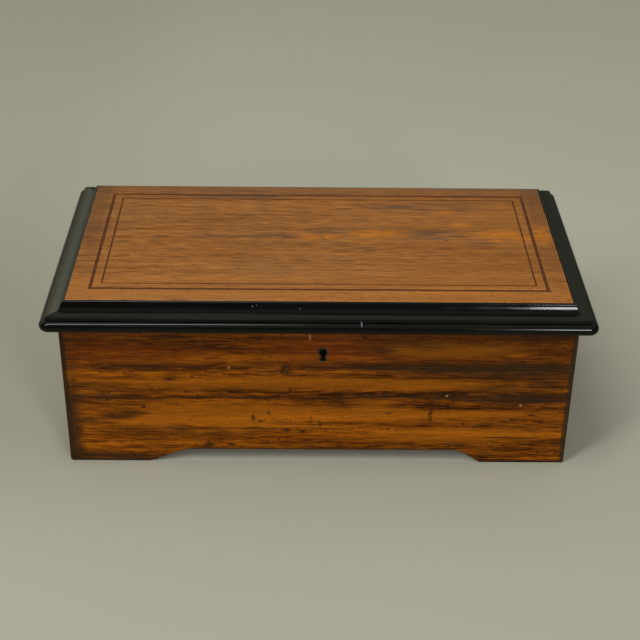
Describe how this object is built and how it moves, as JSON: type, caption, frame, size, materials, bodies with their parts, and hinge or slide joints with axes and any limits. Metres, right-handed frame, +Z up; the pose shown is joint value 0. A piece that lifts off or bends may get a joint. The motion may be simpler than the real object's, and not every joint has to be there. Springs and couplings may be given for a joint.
{
  "type": "music box",
  "caption": "Table-top cylinder music box: wooden case on bracket feet, black moulded lid on hinges, lock, inner glass lid, lever-wound movement with comb, barrel and fly.",
  "frame": {"origin": "on the floor plane, under the middle of the case and of the lid's footprint", "axes": "+X along the front to the right, +Y from the front to the back, +Z up"},
  "size_m": [0.4258, 0.2358, 0.1476],
  "materials": {
    "front_wood": "worn french polish, figured and dark streaked",
    "lid_wood": "worn veneer",
    "ebonised": "black lacquer, glossy",
    "inner_wood": "plain oiled wood",
    "brass": "aged brass",
    "steel": "ground steel",
    "glass": "clear pane"
  },
  "bodies": {
    "case": {"case_front": "front_wood", "case_back": "front_wood", "case_left_end": "front_wood", "case_right_end": "front_wood", "case_bottom": "inner_wood", "partition_left": "inner_wood", "partition_right": "inner_wood", "keyhole_liner": "brass", "lock_body": "brass", "hinge_case_leaf_left": "brass", "hinge_case_leaf_right": "brass", "hinge_pin_left": "steel", "hinge_pin_right": "steel", "bed_rail_left": "inner_wood", "bed_rail_right": "inner_wood", "bedplate": "brass", "cylinder_bearing_left": "brass", "cylinder_bearing_right": "brass", "barrel_bridge_left": "brass", "barrel_bridge_right": "brass", "governor_plate_left": "brass", "governor_plate_right": "brass", "governor_cock": "brass", "comb_base": "brass", "comb": "steel", "comb_screw_1": "steel", "comb_screw_2": "steel", "comb_screw_3": "steel", "control_bracket": "brass"},
    "lid": {"lid_panel": "lid_wood", "lid_moulding_front": "ebonised", "lid_moulding_back": "ebonised", "lid_moulding_left": "ebonised", "lid_moulding_right": "ebonised", "hinge_lid_leaf_left": "brass", "hinge_lid_leaf_right": "brass", "lock_striker": "brass"},
    "lock_bolt": {"lock_bolt": "steel"},
    "glass_lid": {"glass_lid_frame": "ebonised", "glass_pane": "glass"},
    "cylinder_drive": {"cylinder_arbor": "steel", "drive_pinion": "steel", "great_wheel": "brass"},
    "cylinder": {"pinned_cylinder": "brass"},
    "barrel": {"spring_barrel": "brass", "barrel_cap": "brass", "barrel_wheel": "brass", "mainspring": "steel"},
    "governor_arbor": {"governor_pinion": "steel", "worm_wheel": "brass"},
    "fly": {"endless_screw": "steel", "fly": "brass"},
    "winding_arbor": {"barrel_arbor": "steel", "ratchet_wheel": "steel"},
    "winding_lever": {"winding_lever": "brass", "lever_knob": "ebonised"},
    "drive_pawl": {"drive_pawl": "steel"},
    "click": {"click": "steel"},
    "stop_lever": {"stop_lever": "steel"},
    "change_lever": {"change_lever": "steel"}
  },
  "joints": [
    {"name": "lid_hinge", "type": "hinge", "parent": "case", "child": "lid", "pos_m": [0, 0.1078, 0.12635], "axis": [-1, 0, 0], "range_deg": [0, 95]},
    {"name": "glass_lid_hinge", "type": "hinge", "parent": "case", "child": "glass_lid", "pos_m": [0, 0.0885, 0.1187], "axis": [-1, 0, 0], "range_deg": [0, 76]},
    {"name": "bolt_slide", "type": "slide", "parent": "case", "child": "lock_bolt", "axis": [1, 0, 0], "range_m": [0, 0.006]},
    {"name": "cylinder_turn", "type": "hinge", "parent": "case", "child": "cylinder_drive", "pos_m": [-0.0607, 0.002, 0.0743], "axis": [1, 0, 0], "continuous": true},
    {"name": "cylinder_shift", "type": "slide", "parent": "cylinder_drive", "child": "cylinder", "axis": [1, 0, 0], "range_m": [0, 0.002]},
    {"name": "barrel_turn", "type": "hinge", "parent": "case", "child": "barrel", "pos_m": [-0.113, 0.0404, 0.0743], "axis": [1, 0, 0], "continuous": true},
    {"name": "governor_turn", "type": "hinge", "parent": "case", "child": "governor_arbor", "pos_m": [0.0938, 0.0335, 0.0743], "axis": [1, 0, 0], "continuous": true},
    {"name": "fly_turn", "type": "hinge", "parent": "case", "child": "fly", "pos_m": [0.1101, 0.0455, 0.0743], "axis": [0, 0, 1], "continuous": true},
    {"name": "winding_lever_swing", "type": "hinge", "parent": "case", "child": "winding_lever", "pos_m": [-0.1398, 0.0404, 0.0743], "axis": [-1, 0, 0], "range_deg": [0, 66]},
    {"name": "winding_arbor_turn", "type": "hinge", "parent": "case", "child": "winding_arbor", "pos_m": [-0.1345, 0.0404, 0.0743], "axis": [-1, 0, 0], "range_deg": [0, 66]},
    {"name": "drive_pawl_lift", "type": "hinge", "parent": "winding_lever", "child": "drive_pawl", "pos_m": [-0.1345, 0.01702, 0.0608], "axis": [1, 0, 0], "range_deg": [0, 18]},
    {"name": "click_lift", "type": "hinge", "parent": "case", "child": "click", "pos_m": [-0.1345, 0.04267, 0.1002], "axis": [1, 0, 0], "range_deg": [0, 12]},
    {"name": "stop_lever_swing", "type": "hinge", "parent": "case", "child": "stop_lever", "pos_m": [0.141, -0.045, 0.07], "axis": [-1, 0, 0], "range_deg": [0, 24]},
    {"name": "change_lever_swing", "type": "hinge", "parent": "case", "child": "change_lever", "pos_m": [0.141, 0.005, 0.07], "axis": [-1, 0, 0], "range_deg": [0, 24]}
  ],
  "couplings": [
    {"joint": "glass_lid_hinge", "follows": "lid_hinge", "ratio": 0.8},
    {"joint": "barrel_turn", "follows": "cylinder_turn", "ratio": -0.33333},
    {"joint": "governor_turn", "follows": "cylinder_turn", "ratio": -6},
    {"joint": "fly_turn", "follows": "cylinder_turn", "ratio": 144},
    {"joint": "winding_arbor_turn", "follows": "winding_lever_swing", "ratio": 1}
  ]
}
